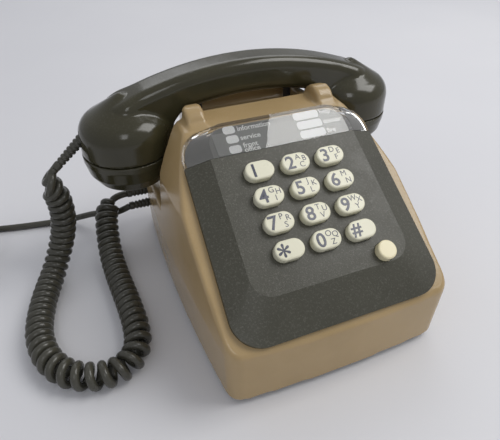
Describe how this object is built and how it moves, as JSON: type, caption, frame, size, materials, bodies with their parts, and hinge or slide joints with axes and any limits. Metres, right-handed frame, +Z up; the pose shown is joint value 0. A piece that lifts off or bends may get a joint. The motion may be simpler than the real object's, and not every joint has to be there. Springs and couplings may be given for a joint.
{
  "type": "push-button desk telephone",
  "caption": "Wedge-shaped desk telephone with a sloping push-button keypad, clear index cover, lift-off handset on a cradle, curly handset cord and coiled line cord.",
  "frame": {"origin": "centre of the footprint, on the surface the rubber feet stand on", "axes": "+Z up, the keypad faces -Y, the handset lies along X with its mouthpiece and cord at -X"},
  "size_m": [0.3722, 0.2248, 0.1372],
  "materials": {
    "housing_plastic": "glossy moulded plastic with very fine wear",
    "dark_plastic": "glossy dark olive moulded plastic",
    "face_plastic": "fine-grained matt plastic",
    "key_plastic": "satin ivory plastic with engraved legends",
    "clear_plastic": "clear polished plastic",
    "tray_plastic": "grey plastic",
    "card": "printed card",
    "steel_sheet": "plated and lacquered steel sheet",
    "steel": "bright steel",
    "rubber": "moulded rubber",
    "board": "circuit board with components",
    "parts_plastic": "moulded component bodies",
    "bell": "plated bell metal",
    "cord": "dark olive cord sheath",
    "plug_plastic": "moulded plug"
  },
  "bodies": {
    "base": {"housing": "housing_plastic", "base_plate": "steel_sheet", "rubber_feet": "rubber", "base_screws": "steel", "face_plate": "face_plastic", "index_cover": "clear_plastic", "index_tray": "tray_plastic", "index_card": "card", "keypad_frame": "parts_plastic", "keypad_board": "board", "contact_mat": "rubber", "keypad_screws": "steel", "main_board": "board", "transformer": "parts_plastic", "capacitors": "parts_plastic", "terminal_block": "parts_plastic", "ringer_frame": "steel_sheet", "ringer_coil": "parts_plastic", "gong_left": "bell", "gong_right": "bell", "clapper_pivot": "steel", "hook_bracket": "steel_sheet", "hook_switch": "parts_plastic", "relief_curly_cord": "cord", "relief_line_cord": "cord", "curly_cord": "cord", "line_cord": "cord", "line_cord_coil": "cord", "coil_tie": "rubber", "line_plug": "plug_plastic"},
    "handset": {"handset_body": "dark_plastic", "transmitter_cap": "dark_plastic", "receiver_cap": "dark_plastic", "transmitter_capsule": "steel", "receiver_capsule": "steel", "handset_relief": "cord"},
    "hook": {"hook_plungers": "parts_plastic"},
    "clapper": {"ringer_clapper": "steel"},
    "recall": {"recall_button": "key_plastic"},
    "button_1": {"key_1": "key_plastic"},
    "button_2": {"key_2": "key_plastic"},
    "button_3": {"key_3": "key_plastic"},
    "button_4": {"key_4": "key_plastic"},
    "button_5": {"key_5": "key_plastic"},
    "button_6": {"key_6": "key_plastic"},
    "button_7": {"key_7": "key_plastic"},
    "button_8": {"key_8": "key_plastic"},
    "button_9": {"key_9": "key_plastic"},
    "button_star": {"key_star": "key_plastic"},
    "button_0": {"key_0": "key_plastic"},
    "button_hash": {"key_hash": "key_plastic"}
  },
  "joints": [
    {"name": "handset_lift", "type": "slide", "parent": "base", "child": "handset", "axis": [0, 0, 1], "range_m": [0, 0.08]},
    {"name": "hook_travel", "type": "slide", "parent": "base", "child": "hook", "axis": [0, 0, 1], "range_m": [0, 0.004]},
    {"name": "clapper_swing", "type": "hinge", "parent": "base", "child": "clapper", "pos_m": [0, 0.0365, 0.036], "axis": [0, 0, 1], "range_deg": [-6, 6], "stiffness_Nm_per_rad": 0.02},
    {"name": "button_1_press", "type": "slide", "parent": "base", "child": "button_1", "axis": [0, 0.5364, -0.844], "range_m": [0, 0.003], "stiffness_N_per_m": 180, "springref_m": -0.003},
    {"name": "button_2_press", "type": "slide", "parent": "base", "child": "button_2", "axis": [0, 0.5364, -0.844], "range_m": [0, 0.003], "stiffness_N_per_m": 180, "springref_m": -0.003},
    {"name": "button_3_press", "type": "slide", "parent": "base", "child": "button_3", "axis": [0, 0.5364, -0.844], "range_m": [0, 0.003], "stiffness_N_per_m": 180, "springref_m": -0.003},
    {"name": "button_4_press", "type": "slide", "parent": "base", "child": "button_4", "axis": [0, 0.5364, -0.844], "range_m": [0, 0.003], "stiffness_N_per_m": 180, "springref_m": -0.003},
    {"name": "button_5_press", "type": "slide", "parent": "base", "child": "button_5", "axis": [0, 0.5364, -0.844], "range_m": [0, 0.003], "stiffness_N_per_m": 180, "springref_m": -0.003},
    {"name": "button_6_press", "type": "slide", "parent": "base", "child": "button_6", "axis": [0, 0.5364, -0.844], "range_m": [0, 0.003], "stiffness_N_per_m": 180, "springref_m": -0.003},
    {"name": "button_7_press", "type": "slide", "parent": "base", "child": "button_7", "axis": [0, 0.5364, -0.844], "range_m": [0, 0.003], "stiffness_N_per_m": 180, "springref_m": -0.003},
    {"name": "button_8_press", "type": "slide", "parent": "base", "child": "button_8", "axis": [0, 0.5364, -0.844], "range_m": [0, 0.003], "stiffness_N_per_m": 180, "springref_m": -0.003},
    {"name": "button_9_press", "type": "slide", "parent": "base", "child": "button_9", "axis": [0, 0.5364, -0.844], "range_m": [0, 0.003], "stiffness_N_per_m": 180, "springref_m": -0.003},
    {"name": "button_star_press", "type": "slide", "parent": "base", "child": "button_star", "axis": [0, 0.5364, -0.844], "range_m": [0, 0.003], "stiffness_N_per_m": 180, "springref_m": -0.003},
    {"name": "button_0_press", "type": "slide", "parent": "base", "child": "button_0", "axis": [0, 0.5364, -0.844], "range_m": [0, 0.003], "stiffness_N_per_m": 180, "springref_m": -0.003},
    {"name": "button_hash_press", "type": "slide", "parent": "base", "child": "button_hash", "axis": [0, 0.5364, -0.844], "range_m": [0, 0.003], "stiffness_N_per_m": 180, "springref_m": -0.003},
    {"name": "recall_press", "type": "slide", "parent": "base", "child": "recall", "axis": [0, 0.5364, -0.844], "range_m": [0, 0.003], "stiffness_N_per_m": 180, "springref_m": -0.003}
  ],
  "couplings": [
    {"joint": "hook_travel", "follows": "handset_lift", "ratio": 0.05}
  ]
}
